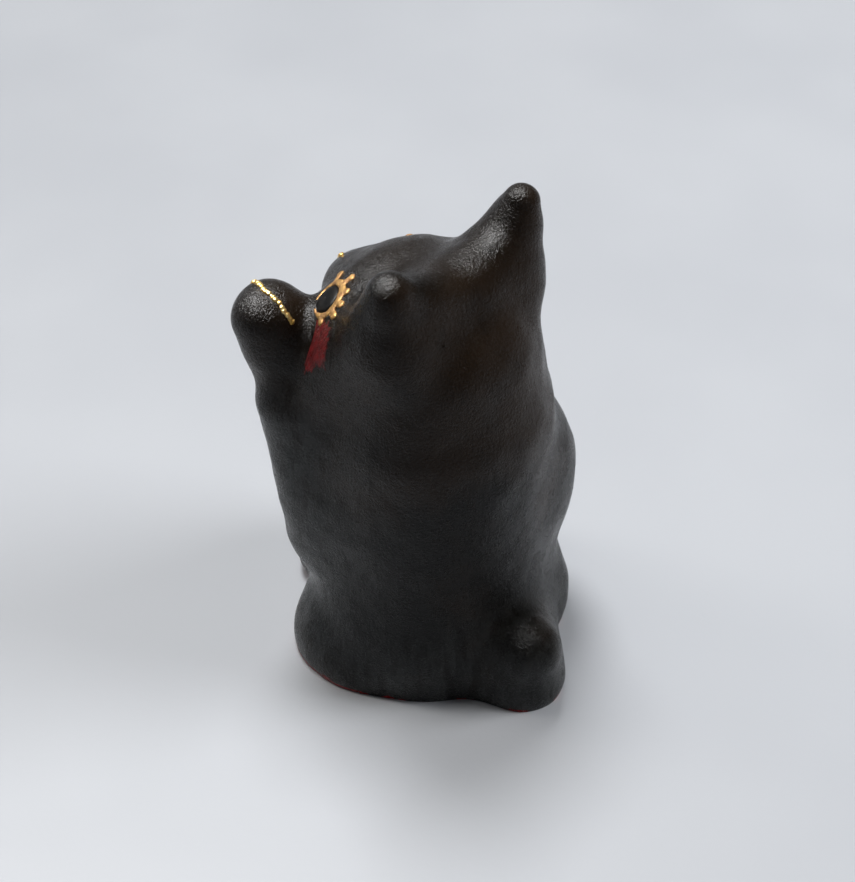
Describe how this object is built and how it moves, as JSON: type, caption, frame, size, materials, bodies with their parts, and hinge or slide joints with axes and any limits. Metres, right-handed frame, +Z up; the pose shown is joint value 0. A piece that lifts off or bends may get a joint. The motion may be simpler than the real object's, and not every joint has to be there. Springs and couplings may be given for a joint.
{
  "type": "beckoning cat figurine",
  "caption": "Small seated clay cat with one raised paw, a stub tail and a flat underside; a shelf ornament that rests on its base.",
  "frame": {"origin": "on the flat underside, in the middle of the seat, where the figure rests on the table", "axes": "+Z up from the underside to the ear tips; the cat faces -Y, its raised left paw is on +X and its tail on +Y"},
  "size_m": [0.042, 0.0462, 0.072],
  "materials": {
    "dark_clay": "satin",
    "red_clay": "satin",
    "red_paint": "satin",
    "black_paint": "gloss",
    "gold_relief": "satin"
  },
  "bodies": {
    "root": {"front_shell": "dark_clay", "back_shell": "dark_clay", "base_slab": "red_clay", "left_ear": "dark_clay", "right_ear": "dark_clay", "raised_paw": "dark_clay", "lowered_arm": "dark_clay", "left_foot": "dark_clay", "right_foot": "dark_clay", "tail_stub": "dark_clay", "nose": "black_paint", "left_eye_ring": "gold_relief", "right_eye_ring": "gold_relief", "left_pupil": "black_paint", "right_pupil": "black_paint", "left_cheek_paint": "red_paint", "right_cheek_paint": "red_paint", "paw_gold_line": "gold_relief", "nose_gold_line": "gold_relief"}
  },
  "joints": []
}
